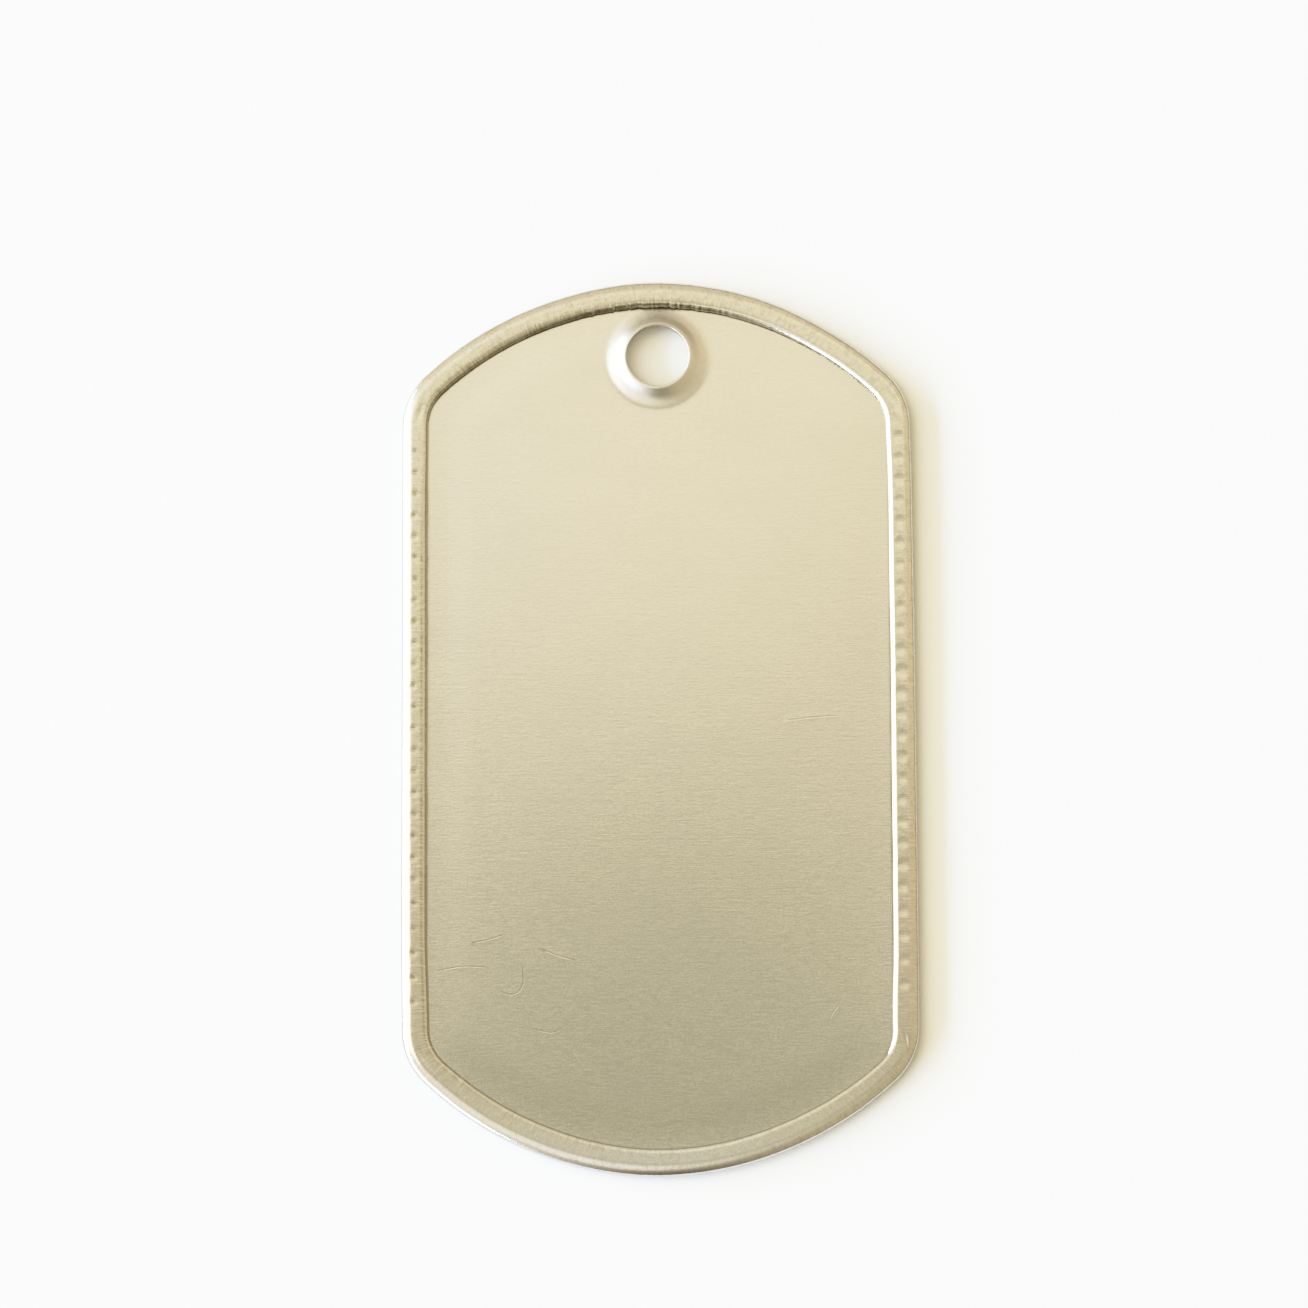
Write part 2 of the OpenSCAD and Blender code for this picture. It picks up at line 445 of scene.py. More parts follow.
def rimMesh():
    # stations x section points: where each lies, where it lies on a drum that the rim is wrapped round
    # for its colours, its part, its dirt and painted shade, and its painted highlight
    stations, total = outlineStations()
    section, parts, across = rimSection()
    partOf = np.array(parts)
    floor = partOf == "floor"
    floor[parts.index("hollow")] = True  # its first point still lies on the panel
    low = np.clip((rimHeight - section[:, 1]) / (rimHeight - foldBottom), 0, 1)
    u, z = wanderAndCrimp(stations, total, section, partOf, low)
    dirt = rimDirtAndShade(stations, total, section, partOf, floor, low)
    rubbed = np.zeros_like(dirt)
    x, y = insideOutline(stations, u)
    ontop = np.isin(partOf, ["shoulder", "land", "bend"])[None, :] & (z > rimHeight / 2)
    rollMarks(x, y, z, ontop, dirt, rubbed)
    pinchCorners(x, y, u, z, ontop)
    x, y = insideOutline(stations, u)
    z[:, floor] = topHeight(x[:, floor], y[:, floor])
    under = partOf == "under"
    z[:, under] = frontHeight(x[:, under], y[:, under])

    radius = total / (2 * math.pi)
    turn = stations[:, 4:5] / radius
    wrapped = np.stack(np.broadcast_arrays(radius * np.cos(turn), radius * np.sin(turn), across), -1)
    return np.stack([x, y, z], -1), wrapped, parts, dirt, rubbed


def gridPoints(step, startsAt, holeRadius):
    # a staggered grid over the panel, about half a step clear of the rim and of the collar
    points = []
    equalSided = 0.866  # rows this share of a step apart make triangles with three equal sides
    rowsUp = int(halfLength / (step * equalSided)) + 1
    columnsOut = int(halfWidth / step) + 1
    for row in range(-rowsUp, rowsUp + 1):
        for column in range(-columnsOut, columnsOut + 1):
            points.append(((column + 0.5 * (row % 2)) * step, row * step * equalSided))
    points = np.array(points)
    points = points[edgeDistance(points[:, 0], points[:, 1]) > startsAt + 0.55 * step]
    fromHole = np.hypot(points[:, 0] - collar["x"], points[:, 1] - collar["y"])
    return points[fromHole > holeRadius + 0.5 * step]


def ringPoints(radii, startsAt, clear):
    a = np.arange(collar["spokes"]) * 2 * math.pi / collar["spokes"]
    rings = [np.stack([collar["x"] + r * np.cos(a), collar["y"] + r * np.sin(a)], 1) for r in radii]
    points = np.concatenate(rings)
    return points[edgeDistance(points[:, 0], points[:, 1]) > startsAt + clear]


# Handling scratches on the panel, each by a few places that it runs through: x, y in mm
scratches = dict(
    width=0.07 * mm,
    depth=0.006 * mm,
    section=[(-1, 0), (-0.5, 0.12), (0, -1), (0.5, 0.08), (1, 0)],  # across in widths, up in depths
    soil=0.7,
    shiny=(4, 5, 6),  # by their places in the list below: no dirt stayed in these
    step=0.09 * mm,
    clear=0.1 * mm,  # to the panel's own grid
    endShare=0.04,  # of a half wave, so that the ends aren't quite level with the panel
    blunt=0.6,  # 1 tapers like a half wave, and less keeps the depth for longer
    varies=0.5,  # how much the depth changes on the way
    varyLength=1 / 9,  # of the scratch's length
    routes=[
        [(-7.6, -13.6), (-7.55, -14.4), (-7.75, -14.95), (-8.2, -15.15), (-8.75, -15.0)],
        [(-10.2, -12.2), (-9.4, -12.05), (-8.7, -11.8)],
        [(-6.3, -12.7), (-5.6, -13.0), (-4.7, -13.25)],
        [(-12.2, -13.75), (-10.9, -13.55), (-9.6, -13.6)],
        [(9.3, -16.9), (9.45, -16.4), (9.8, -15.9), (9.75, -15.5)],
        [(7.2, 0.2), (8.4, 0.35), (9.8, 0.45)],
        [(-4.9, -17.8), (-4.6, -18.6), (-4.2, -19.2)],
        [(-7.0, -17.1), (-6.0, -17.3), (-5.5, -17.1)],
    ],
)


def curveThrough(knots, steps):
    t = np.linspace(0, len(knots) - 1, steps)
    padded = np.vstack([2 * knots[0] - knots[1], knots, 2 * knots[-1] - knots[-2]])
    i = np.minimum(t.astype(int), len(knots) - 2)
    f = (t - i)[:, None]
    a, b, c, d = (padded[i + k] for k in range(4))
    bend = (2 * a - 5 * b + 4 * c - d) * f**2
    return 0.5 * (2 * b + (c - a) * f + bend + (3 * b - a - 3 * c + d) * f**3)


def scratchLines():
    # each scratch is a groove of a few lines side by side, with a faint burr, shallower towards its ends
    points, heights, dirt, lines = [], [], [], []
    for number, route in enumerate(scratches["routes"]):
        knots = np.array(route) * mm
        steps = max(8, int(np.hypot(*np.diff(knots, axis=0).T).sum() / scratches["step"]))
        middle = curveThrough(knots, steps)
        ahead = np.gradient(middle, axis=0)
        ahead /= np.hypot(*ahead.T)[:, None]
        sideways = np.stack([-ahead[:, 1], ahead[:, 0]], 1)
        share = np.linspace(0, 1, steps)
        wave = np.sin(math.pi * (scratches["endShare"] + (1 - 2 * scratches["endShare"]) * share))
        along = [noise.noise(Vector((s / scratches["varyLength"], number, 2.2))) for s in share]
        taper = wave ** scratches["blunt"] * (0.75 + scratches["varies"] * np.array(along))
        soil = 0.0 if number in scratches["shiny"] else scratches["soil"]
        for offset, rise in scratches["section"]:
            first = sum(len(p) for p in points)
            points.append(middle + sideways * offset * scratches["width"])
            heights.append(rise * scratches["depth"] * taper)
            dirt.append(np.full(steps, soil if rise < 0 else 0.0))
            lines.append(range(first, first + steps))
    return np.concatenate(points), np.concatenate(heights), np.concatenate(dirt), lines


def triangulate(loops, inner, lines, holeRadius):
    # fills between the outer loop and the hole's loop; returns triangles over loops + inner, anticlockwise
    points = np.concatenate([*loops, inner])
    edges, first = [], 0
    for loop in loops:
        edges += [(first + i, first + (i + 1) % len(loop)) for i in range(len(loop))]
        first += len(loop)
    for line in lines:
        edges += [(first + a, first + b) for a, b in zip(line[:-1], line[1:])]
    # the outer loop bends in slightly along its sides, so only what lies inside it is asked for
    insideOnly, mmPerMetre, closest = 1, 1000, 1e-7
    filled = delaunay_2d_cdt([Vector(p * mmPerMetre) for p in points], edges, [], insideOnly, closest)
    faces, cameFrom = filled[2:4]
    triangles = np.array([[cameFrom[v][0] for v in face] for face in faces])
    middle = points[triangles].mean(1) - np.array([collar["x"], collar["y"]])
    kept = triangles[np.hypot(*middle.T) > holeRadius * math.cos(math.pi / collar["spokes"])]
    a, b, c = (points[kept[:, k]] for k in range(3))
    turn = (b[:, 0] - a[:, 0]) * (c[:, 1] - a[:, 1]) - (b[:, 1] - a[:, 1]) * (c[:, 0] - a[:, 0])
    kept[turn < 0] = kept[turn < 0][:, ::-1]
    return kept


def holeWall():
    # rings of points from the hollow on the front up to the rounded lip
    r, lipRound, steps = collar["holeRadius"], collar["lipRound"], collar["lipRoundSteps"]
    centreX, centreY = collar["x"], collar["y"]
    lipTop = blank["sheet"] + collar["height"]
    foot = float(collarRise(np.array([r + centreX]), np.array([centreY]), underside=True)[0])
    profile = [(r, foot), (r, (foot + lipTop) / 2), (r, lipTop - lipRound)]
    for step in range(1, steps + 1):
        f = step * quarterTurn / steps
        profile.append((r + lipRound * (1 - math.cos(f)), lipTop - lipRound * (1 - math.sin(f))))
    lift = bulgeAt(centreX, centreY)
    spokes = np.arange(collar["spokes"]) * 2 * math.pi / collar["spokes"]
    return np.array([
        [(centreX + ringR * math.cos(a), centreY + ringR * math.sin(a), z + lift) for a in spokes]
        for ringR, z in profile
    ])


def panelBack(rimLoop, wallLoop, outer):
    # the back of the panel, with the collar and the scratches
    r, lipRound, count = collar["holeRadius"], collar["lipRound"], collar["rings"]
    reach = outer + panel["ringsPast"] - r - lipRound
    radii = r + lipRound + reach * (np.arange(1, count) / (count - 1))
    marks, markHeights, markDirt, lines = scratchLines()
    grid = gridPoints(panel["gridStep"], panel["startsAt"], radii[-1])
    fromMarks = np.min(np.hypot(*(grid[:, None] - marks[None]).T), axis=0)
    grid = grid[fromMarks > scratches["width"] + scratches["clear"]]
    inner = np.concatenate([marks, ringPoints(radii, panel["startsAt"], panel["ringClear"]), grid])
    heights = topHeight(inner[:, 0], inner[:, 1])
    heights[:len(marks)] += markHeights
    dirt = np.zeros(len(inner))
    dirt[:len(marks)] = markDirt
    triangles = triangulate([rimLoop, wallLoop], inner, lines, r + lipRound)
    return np.column_stack([inner, heights]), triangles, dirt


def panelFront(rimLoop, wallLoop, outer):
    # the front, which lies on the paper
    r, count = collar["holeRadius"], panel["frontRings"]
    radii = r + (outer - r) * (np.arange(1, count + 1) / count)
    rings = ringPoints(radii, panel["frontStartsAt"], panel["frontRingClear"])
    grid = gridPoints(panel["frontGridStep"], panel["frontStartsAt"], radii[-1])
    inner = np.concatenate([rings, grid])
    triangles = triangulate([rimLoop, wallLoop], inner, [], r)
    return np.column_stack([inner, frontHeight(inner[:, 0], inner[:, 1])]), triangles


def bandBetween(low, high):
    # quads between two closed loops of vertices
    return np.stack([np.roll(low, -1), low, high, np.roll(high, -1)], 1).tolist()


def buildTag():
    onPanel, onRim, onFront, onCut = range(4)  # the materials, in the order that the tag gets them
    rim, wrapped, parts, dirt, rubbed = rimMesh()
    wall = holeWall()
    outer = collarRadii()[-1]
    rimIndex = np.arange(dirt.size).reshape(dirt.shape)
    wallIndex = dirt.size + np.arange(wall.size // 3).reshape(wall.shape[:2])
    faces, materials = [], []
    for j, part in enumerate(parts[:-1]):
        faces += bandBetween(rimIndex[:, j], rimIndex[:, j + 1])
        materials += [dict(floor=onPanel, under=onFront).get(part, onRim)] * len(rimIndex)
    for j in range(len(wall) - 1):
        faces += bandBetween(wallIndex[j], wallIndex[j + 1])
        materials += [onCut if j < 2 else onPanel] * collar["spokes"]  # cut metal up to the rounded lip
    print("rim and hole:", len(faces), "faces")

    total = dirt.size + wallIndex.size
    back, triangles, backDirt = panelBack(rim[:, 0, :2], wall[-1, :, :2], outer)
    index = np.concatenate([rimIndex[:, 0], wallIndex[-1], total + np.arange(len(back))])
    faces += index[triangles].tolist()
    materials += [onPanel] * len(triangles)
    print("back of the panel:", len(triangles), "faces")
    front, triangles = panelFront(rim[:, -1, :2], wall[0, :, :2], outer)
    index = np.concatenate([rimIndex[:, -1], wallIndex[0], total + len(back) + np.arange(len(front))])
    faces += index[triangles][:, ::-1].tolist()
    materials += [onFront] * len(triangles)
    print("front:", len(triangles), "faces")

    places = np.concatenate([rim.reshape(-1, 3), wall.reshape(-1, 3), back, front])
    mesh = bpy.data.meshes.new("stampedTag")
    mesh.from_pydata(places.tolist(), [], faces)
    mesh.polygons.foreach_set("material_index", materials)
    mesh.polygons.foreach_set("use_smooth", [True] * len(faces))
    around = np.zeros((len(places), 3), np.float32)
    around[:dirt.size] = wrapped.reshape(-1, 3)
    mesh.attributes.new("aroundRim", "FLOAT_VECTOR", "POINT").data.foreach_set("vector", around.ravel())
    wear = {name: np.zeros(len(places)) for name in ("dirt", "rubbed")}
    wear["dirt"][:dirt.size] = dirt.ravel()
    wear["dirt"][total:total + len(back)] = backDirt
    wear["rubbed"][:dirt.size] = rubbed.ravel()
    fromHole = np.hypot(places[:, 0] - collar["x"], places[:, 1] - collar["y"])
    onBack = places[:, 2] > blank["sheet"] * 0.9  # not on the front or in the hole
    wear["worked"] = smooth((outer + collar["workedPast"] - fromHole) / collar["workedFade"]) * onBack
    for name, values in wear.items():
        mesh.attributes.new(name, "FLOAT", "POINT").data.foreach_set("value", values.astype(np.float32))
    mesh.validate()
    mesh.update()
    mesh.set_sharp_from_angle(angle=blank["sharpFrom"])
    tag = bpy.data.objects.new("stampedTag", mesh)
    bpy.context.scene.collection.objects.link(tag)
    return tag


def node(tree, kind, links=None, **settings):
    # makes a node, sets its settings, sockets and incoming links
    made = tree.nodes.new(kind)
    for name, value in settings.items():
        if name in made.inputs:
            made.inputs[name].default_value = value
        else:
            setattr(made, name, value)
    for socket, source in (links or {}).items():
        tree.links.new(source, made.inputs[socket])
    return made


def newMaterial(name):
    material = bpy.data.materials.new(name)
    material.use_nodes = True
    tree = material.node_tree
    tree.nodes.clear()
    return material, tree


def noiseMap(tree, coords, size, detail=2.0, roughness=0.5):
    # noise whose features measure size in metres: one number, or x, y and z
    if isinstance(size, float):
        size = (size,) * 3
    mapping = node(tree, "ShaderNodeMapping", {"Vector": coords}, Scale=tuple(1 / s for s in size))
    links = {"Vector": mapping.outputs[0]}
    made = node(tree, "ShaderNodeTexNoise", links, Scale=1.0, Detail=detail, Roughness=roughness)
    return made.outputs["Fac"]


def spread(tree, value, low, high, toLow, toHigh):
    # toLow where the value is low or less, toHigh where it is high or more
    mapped = node(tree, "ShaderNodeMapRange", {"Value": value})
    for name, number in (("From Min", low), ("From Max", high), ("To Min", toLow), ("To Max", toHigh)):
        mapped.inputs[name].default_value = number
    return mapped.outputs[0]


def bump(tree, height, distance, under=None):
    links = {"Height": height}
    if under:
        links["Normal"] = under
    return node(tree, "ShaderNodeBump", links, Strength=1.0, Distance=distance).outputs[0]


def mixColours(tree, factor, a, b):
    mixed = node(tree, "ShaderNodeMix", data_type="RGBA")
    tree.links.new(factor, mixed.inputs["Factor"])
    for socket, colour in ((mixed.inputs[6], a), (mixed.inputs[7], b)):
        if isinstance(colour, tuple):
            socket.default_value = (*colour, 1)
        else:
            tree.links.new(colour, socket)
    return mixed.outputs[2]


def ramp(tree, value, stops):
    # a colour ramp over values from -1 to 1
    made = node(tree, "ShaderNodeValToRGB", {"Fac": spread(tree, value, -1, 1, 0, 1)})
    elements = made.color_ramp.elements
    while len(elements) < len(stops):
        elements.new(0.5)
    for element, (position, colour) in zip(elements, stops):
        element.position = (position + 1) / 2
        element.color = (*colour, 1)
    return made.outputs["Color"]


def meshAttribute(tree, name):
    return node(tree, "ShaderNodeAttribute", attribute_name=name).outputs["Fac"]


def times(tree, a, b):
    made = node(tree, "ShaderNodeMath", {0: a, 1: b}, operation="MULTIPLY")
    return made.outputs[0]


def bareSteel(tree, colour, roughness, normal):
    links = {"Base Color": colour, "Roughness": roughness, "Normal": normal}
    steel = node(tree, "ShaderNodeBsdfPrincipled", links, Metallic=1.0)
    node(tree, "ShaderNodeOutputMaterial", {"Surface": steel.outputs[0]})


# In the looks, a name with Shows or Hides gives two values of a noise, and how strongly a colour or the soil
# colour of dirt and painted shade shows at the one and at the other
def panelSteel(name):
    look = dict(
        steel=(0.587, 0.555, 0.53),
        duller=(0.562, 0.535, 0.516),
        clouds=(5 * mm, 3 * mm, 5 * mm),
        cloudsShow=(0.35, 0.7, 0, 1),
        shadeInGrain=(0.45, 0.43, 0.405),
        coarser=(14 * mm, -20 * mm, 0.15, 0.7),  # the grain shows more towards the lower end
        grain=(0.45 * mm, 0.07 * mm, 1 * mm),  # brushed across the width
        grainShows=(0.4, 0.7, 0, 1),
        grainDepth=0.0012 * mm,
        longGrain=(3.0 * mm, 0.1 * mm, 1 * mm),
        longGrainDepth=0.0006 * mm,
        sand=0.11 * mm,
        sandShows=(0.42, 0.68, 0, 1),
        sandDepth=0.001 * mm,
        workedSteel=(0.53, 0.5, 0.46),  # the stretched metal of the collar
        orangePeel=0.3 * mm,
        orangePeelShows=(0.35, 0.65, 0.2, 1),
        orangePeelDepth=0.006 * mm,
        soil=(0.15, 0.13, 0.03),
        grainHides=(0.3, 0.7, 0.95, 0.6),
        roughness=0.125,
        workedRoughness=0.3,
    )
    material, tree = newMaterial(name)
    coords = node(tree, "ShaderNodeTexCoord").outputs["Object"]
    worked, dirt = meshAttribute(tree, "worked"), meshAttribute(tree, "dirt")
    clouds = noiseMap(tree, coords, look["clouds"], detail=4, roughness=0.6)
    grain = noiseMap(tree, coords, look["grain"], detail=3)
    sand = noiseMap(tree, coords, look["sand"], detail=2)
    peel = noiseMap(tree, coords, look["orangePeel"], detail=3, roughness=0.6)
    along = node(tree, "ShaderNodeSeparateXYZ", {"Vector": coords}).outputs["Y"]
    coarse = spread(tree, along, *look["coarser"])
    colour = mixColours(tree, spread(tree, clouds, *look["cloudsShow"]), look["steel"], look["duller"])
    for pattern, shows in ((grain, look["grainShows"]), (sand, look["sandShows"])):
        shaded = times(tree, spread(tree, pattern, *shows), coarse)
        colour = mixColours(tree, shaded, colour, look["shadeInGrain"])
    stretched = times(tree, spread(tree, peel, *look["orangePeelShows"]), worked)
    colour = mixColours(tree, stretched, colour, look["workedSteel"])
    # the soil colour paints dirt in the scratches and painted shade along the crease where the panel meets the
    # rim's raw edge
    soiledAndShaded = times(tree, dirt, spread(tree, grain, *look["grainHides"]))
    colour = mixColours(tree, soiledAndShaded, colour, look["soil"])
    roughness = spread(tree, worked, 0, 1, look["roughness"], look["workedRoughness"])
    normal = bump(tree, noiseMap(tree, coords, look["longGrain"], detail=1), look["longGrainDepth"])
    normal = bump(tree, grain, look["grainDepth"], normal)
    normal = bump(tree, sand, look["sandDepth"], normal)
    normal = bump(tree, times(tree, peel, worked), look["orangePeelDepth"], normal)
    bareSteel(tree, colour, roughness, normal)
    return material


def rimSteel(name):
    look = dict(
        # painted light and shade: the rim's tone along the tag, silvery at the lower end for a painted
        # reflection, darkest just above it and lighter towards the end with the hole
        alongTag=[  # from the lower end (-1) to the end with the hole (1)
            (-0.98, (0.55, 0.54, 0.57)),
            (-0.9, (0.52, 0.5, 0.475)),
            (-0.72, (0.45, 0.42, 0.374)),
            (-0.3, (0.48, 0.445, 0.396)),
            (0.1, (0.53, 0.495, 0.446)),
            (0.7, (0.56, 0.53, 0.484)),
        ],
        tagEnds=25 * mm,  # either side of the middle, where that runs to
        # rubbed streaks, and the painted highlight on the right side's roller marks
        rubbed=(0.62, 0.59, 0.561),
        streak=(0.09 * mm, 0.09 * mm, 0.7 * mm),  # drawn across the rim by the roller
        streakShows=(0.5, 0.75, 0, 0.5),
        streakDepth=0.0025 * mm,
        stained=(0.4, 0.37, 0.31),
        mottle=0.32 * mm,
        mottleShows=(0.48, 0.75, 0, 0.8),
        mottleDepth=0.006 * mm,
        speck=0.12 * mm,
        speckShows=(0.52, 0.75, 0, 0.5),
        soil=(0.15, 0.135, 0.03),
        streakHides=(0.42, 0.6, 1.1, 0.35),
        roughness=(0.3, 0.7, 0.16, 0.24),  # over the mottle
    )
    material, tree = newMaterial(name)
    around = node(tree, "ShaderNodeAttribute", attribute_name="aroundRim").outputs["Vector"]
    coords = node(tree, "ShaderNodeTexCoord").outputs["Object"]
    dirt, rubbed = meshAttribute(tree, "dirt"), meshAttribute(tree, "rubbed")
    along = node(tree, "ShaderNodeSeparateXYZ", {"Vector": coords}).outputs["Y"]
    mottle = noiseMap(tree, around, look["mottle"], detail=4, roughness=0.6)
    streaks = noiseMap(tree, around, look["streak"], detail=2)
    specks = noiseMap(tree, around, look["speck"], detail=2)
    colour = ramp(tree, spread(tree, along, -look["tagEnds"], look["tagEnds"], -1, 1), look["alongTag"])
    colour = mixColours(tree, spread(tree, mottle, *look["mottleShows"]), colour, look["stained"])
    colour = mixColours(tree, spread(tree, specks, *look["speckShows"]), colour, look["stained"])
    colour = mixColours(tree, spread(tree, streaks, *look["streakShows"]), colour, look["rubbed"])
    # painted highlight over the right side's roller marks
    colour = mixColours(tree, rubbed, colour, look["rubbed"])
    # the soil colour paints dirt in the left side's roller marks, and painted shade in the crease and over the
    # top end's shoulder and land
    soiledAndShaded = times(tree, dirt, spread(tree, streaks, *look["streakHides"]))
    colour = mixColours(tree, soiledAndShaded, colour, look["soil"])
    roughness = spread(tree, mottle, *look["roughness"])
    normal = bump(tree, mottle, look["mottleDepth"])
    normal = bump(tree, streaks, look["streakDepth"], normal)
    bareSteel(tree, colour, roughness, normal)
    return material


def cutSteel(name):
    look = dict(
        steel=(0.55, 0.52, 0.484),
        burnt=(0.3, 0.27, 0.22),
        tear=(0.08 * mm, 0.08 * mm, 0.5 * mm),
        tearShows=(0.4, 0.7, 0, 1),
        tearDepth=0.004 * mm,
        roughness=(0.3, 0.7, 0.3, 0.45),  # over the tears
    )
    material, tree = newMaterial(name)
    coords = node(tree, "ShaderNodeTexCoord").outputs["Object"]
    tears = noiseMap(tree, coords, look["tear"], detail=3)
    colour = mixColours(tree, spread(tree, tears, *look["tearShows"]), look["steel"], look["burnt"])
    roughness = spread(tree, tears, *look["roughness"])
    bareSteel(tree, colour, roughness, bump(tree, tears, look["tearDepth"]))
    return material


def paperFloor():
    look = dict(
        side=4.0,
        drop=0.02 * mm,
        white=(0.75, 0.731, 0.706),
        shade=(0.73, 0.711, 0.686),
        fibre=0.4 * mm,
        fibreDepth=0.01 * mm,
        roughness=0.9,
        gloss=0.1,
    )
    half = look["side"] / 2
    mesh = bpy.data.meshes.new("paper")
    corners = [(-half, -half), (half, -half), (half, half), (-half, half)]
    mesh.from_pydata([(x, y, -look["drop"]) for x, y in corners], [], [(0, 1, 2, 3)])
    paper = bpy.data.objects.new("paper", mesh)
    bpy.context.scene.collection.objects.link(paper)
    material, tree = newMaterial("plainPaper")
    coords = node(tree, "ShaderNodeTexCoord").outputs["Object"]
    fibres = noiseMap(tree, coords, look["fibre"], detail=4)
    colour = mixColours(tree, fibres, look["white"], look["shade"])
    links = {"Base Color": colour, "Normal": bump(tree, fibres, look["fibreDepth"])}
    dull = node(tree, "ShaderNodeBsdfPrincipled", links, Roughness=look["roughness"])
    dull.inputs["Specular IOR Level"].default_value = look["gloss"]
    node(tree, "ShaderNodeOutputMaterial", {"Surface": dull.outputs[0]})
    mesh.materials.append(material)


def patchOf(tree, direction, axes, patch):
    # a soft round patch of the room about one direction; some fade out behind a line across the room
    towards = node(tree, "ShaderNodeVectorMath", {"Vector": direction}, operation="DOT_PRODUCT")
    towards.inputs[1].default_value = (patch["x"], patch["y"], math.sqrt(1 - patch["x"] ** 2 - patch["y"] ** 2))
    lit = spread(tree, towards.outputs["Value"], patch["none"], patch["full"], 0, 1)
    if "behind" in patch:
        lit = times(tree, lit, spread(tree, axes["Y"], *patch["behind"], 0, 1))
    return lit


def roomLight():
    # what the metal mirrors: a pale wall ahead, the viewer's own shade overhead, a warm wall on the right
    room = dict(
        fromBehindToAhead=[
            (-1.0, (0.14, 0.12, 0.05)),
            (-0.9, (0.26, 0.22, 0.11)),
            (-0.77, (0.3, 0.25, 0.15)),
            (-0.6, (0.58, 0.5, 0.31)),
            (-0.3, (0.88, 0.79, 0.53)),
            (-0.06, (0.95, 0.87, 0.59)),
            (0.05, (0.83, 0.77, 0.53)),
            (0.12, (0.71, 0.68, 0.465)),
            (0.2, (0.82, 0.79, 0.56)),
            (0.25, (1.4, 1.25, 0.905)),
            (0.45, (1.37, 1.21, 0.855)),
            (0.75, (1.15, 1.04, 0.75)),
            (0.97, (1.05, 0.97, 0.72)),
        ],
        rightBehind=(0.92, 0.82, 0.52),
        rightAhead=(1.2, 1.05, 0.69),
        rightBehindToAhead=(-0.35, 0.15),
        rightLow=(0.36, 0.28, 0.14),
        rightLowTo=(0.06, 0.36),
        rightFrom=0.1,
        rightTo=0.6,
        left=(1.45, 1.3, 0.92),
        leftFrom=0.05,
        leftTo=0.65,
        patches=[  # where the window's light falls on the wall ahead, and a pale doorway behind
            dict(x=-0.35, y=0.3, colour=(1.77, 1.66, 1.3), full=0.985, none=0.9, behind=(0.2, 0.25)),
            dict(x=0.19, y=0.35, colour=(1.62, 1.45, 1.03), full=0.99, none=0.952, behind=(0.2, 0.27)),
            dict(x=-0.3, y=-0.3, colour=(1.7, 1.6, 1.3), full=0.98, none=0.9),
        ],
        skirting=(0.3, 0.24, 0.12),  # low down, all round
        skirtingTop=0.3,
        strength=1.0,
    )
    world = bpy.data.worlds.new("room")
    bpy.context.scene.world = world
    world.use_nodes = True
    tree = world.node_tree
    tree.nodes.clear()
    direction = node(tree, "ShaderNodeTexCoord").outputs["Generated"]
    axes = node(tree, "ShaderNodeSeparateXYZ", {"Vector": direction}).outputs
    ahead = spread(tree, axes["Y"], *room["rightBehindToAhead"], 0, 1)
    raised = spread(tree, axes["Z"], *room["rightLowTo"], 0, 1)
    right = spread(tree, axes["X"], room["rightFrom"], room["rightTo"], 0, 1)
    left = spread(tree, axes["X"], -room["leftFrom"], -room["leftTo"], 0, 1)
    low = spread(tree, axes["Z"], 0, room["skirtingTop"], 1, 0)
    rightWall = mixColours(tree, ahead, room["rightBehind"], room["rightAhead"])
    rightWall = mixColours(tree, raised, room["rightLow"], rightWall)
    colour = ramp(tree, axes["Y"], room["fromBehindToAhead"])
    colour = mixColours(tree, right, colour, rightWall)
    colour = mixColours(tree, left, colour, room["left"])
    for patch in room["patches"]:
        colour = mixColours(tree, patchOf(tree, direction, axes, patch), colour, patch["colour"])
    colour = mixColours(tree, low, colour, room["skirting"])
    light = node(tree, "ShaderNodeBackground", {"Color": colour}, Strength=room["strength"])
    node(tree, "ShaderNodeOutputWorld", {"Surface": light.outputs[0]})


def windowLight():
    # a window on the left: bright sky low down and a paler pane above it; angles in degrees
    window = dict(
        distance=1.2,
        panes=[
            dict(
                name="sky", azimuth=187, halfAngle=46, lowest=9, highest=25,
                colour=(0.585, 0.79, 1.08), radiance=37,
            ),
            dict(
                name="upperPane", azimuth=163, halfAngle=20, lowest=25, highest=68,
                colour=(1.0, 0.95, 0.84), radiance=4.0,
            ),
        ],
    )
    for pane in window["panes"]:
        azimuth = math.radians(pane["azimuth"])
        across = window["distance"] * Vector((math.cos(azimuth), math.sin(azimuth), 0))
        low, high = (window["distance"] * math.tan(math.radians(pane[k])) for k in ("lowest", "highest"))
        data = bpy.data.lights.new(pane["name"], "AREA")
        data.shape = "RECTANGLE"
        data.size = 2 * window["distance"] * math.tan(math.radians(pane["halfAngle"]))
        data.size_y = high - low
        data.color = pane["colour"]
        data.energy = pane["radiance"] * math.pi * data.size * data.size_y
        light = bpy.data.objects.new(pane["name"], data)
        light.location = across + Vector((0, 0, (low + high) / 2))
        light.rotation_euler = (-across).to_track_quat("-Z", "Y").to_euler()
        light.visible_camera = False
        bpy.context.scene.collection.objects.link(light)


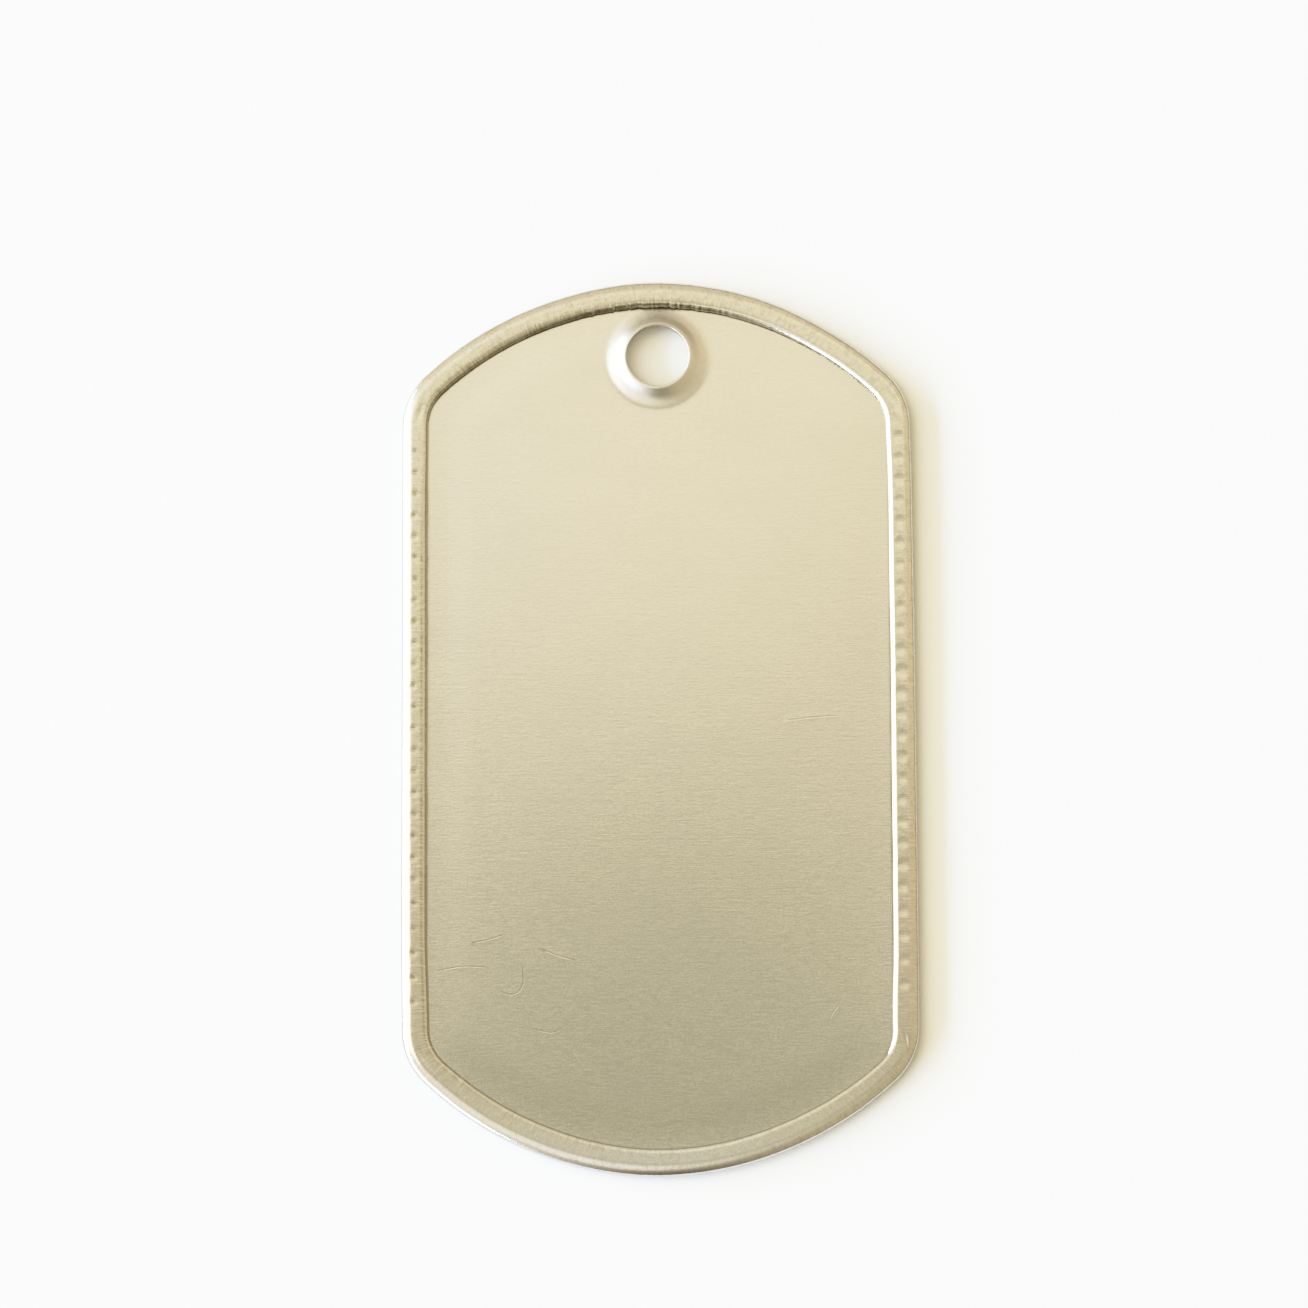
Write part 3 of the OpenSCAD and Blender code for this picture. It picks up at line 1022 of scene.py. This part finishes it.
def filmCurve():
    # like a camera's own curve: straight in the mid tones, then a long shoulder up to white
    film = dict(
        straightTo=0.55,
        headroom=0.45,
        brightest=6.0,
        places=(0.28, 0.55, 0.7, 0.85, 1.0, 1.25, 1.6, 2.1, 3.0, 4.2),
    )
    view = bpy.context.scene.view_settings
    view.view_transform = "Standard"
    view.use_curve_mapping = True
    mapping = view.curve_mapping
    mapping.white_level = (film["brightest"],) * 3
    allChannels = mapping.curves[3]
    for place in film["places"]:
        over = max(0, place - film["straightTo"])
        tone = place - over + film["headroom"] * (1 - math.exp(-over / film["headroom"]))
        allChannels.points.new(place / film["brightest"], tone)
    mapping.update()


def photoCamera():
    # fitted to the tag's outline in the photograph
    view = dict(
        distance=500 * mm,
        tilt=math.radians(12.92),  # from straight above, towards the tag's lower end
        turn=math.radians(1.12),
        roll=math.radians(-0.22),
        pixelsPerMm=18.02,
        frameSide=1308,
        middleX=659.2,  # pixel of the tag's middle
        middleY=727.0,
        sensor=36,
        nearest=0.01,
        furthest=20,
    )
    back = Vector((
        math.sin(view["turn"]) * math.cos(view["tilt"]),
        -math.sin(view["tilt"]),
        math.cos(view["turn"]) * math.cos(view["tilt"]),
    )).normalized()
    level = Vector((math.cos(view["turn"]), 0, -math.sin(view["turn"])))
    upright = back.cross(level)
    right = level * math.cos(view["roll"]) + upright * math.sin(view["roll"])
    up = upright * math.cos(view["roll"]) - level * math.sin(view["roll"])
    focal = view["pixelsPerMm"] * view["distance"] / mm  # in pixels
    left = (view["middleX"] - view["frameSide"] / 2) / focal
    down = (view["middleY"] - view["frameSide"] / 2) / focal
    aimBack = (back - up * down + right * left).normalized()
    aimRight = up.cross(aimBack).normalized()
    data = bpy.data.cameras.new("camera")
    data.sensor_width = view["sensor"]
    data.lens = focal / view["frameSide"] * view["sensor"]
    data.clip_start = view["nearest"]
    data.clip_end = view["furthest"]
    camera = bpy.data.objects.new("camera", data)
    axes = Matrix((aimRight, aimBack.cross(aimRight), aimBack)).transposed()
    camera.matrix_world = Matrix.Translation(back * view["distance"]) @ axes.to_4x4()
    bpy.context.scene.collection.objects.link(camera)
    bpy.context.scene.camera = camera


tag = buildTag()
steels = (panelSteel("panelSteel"), rimSteel("rimSteel"), panelSteel("frontSteel"), cutSteel("cutSteel"))
for material in steels:
    tag.data.materials.append(material)
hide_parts("tag")
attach(tag, "root")
print("tag:", len(tag.data.vertices), "vertices,", len(tag.data.polygons), "faces")

paperFloor()
roomLight()
windowLight()
photoCamera()
filmCurve()
print("room, window and camera set")
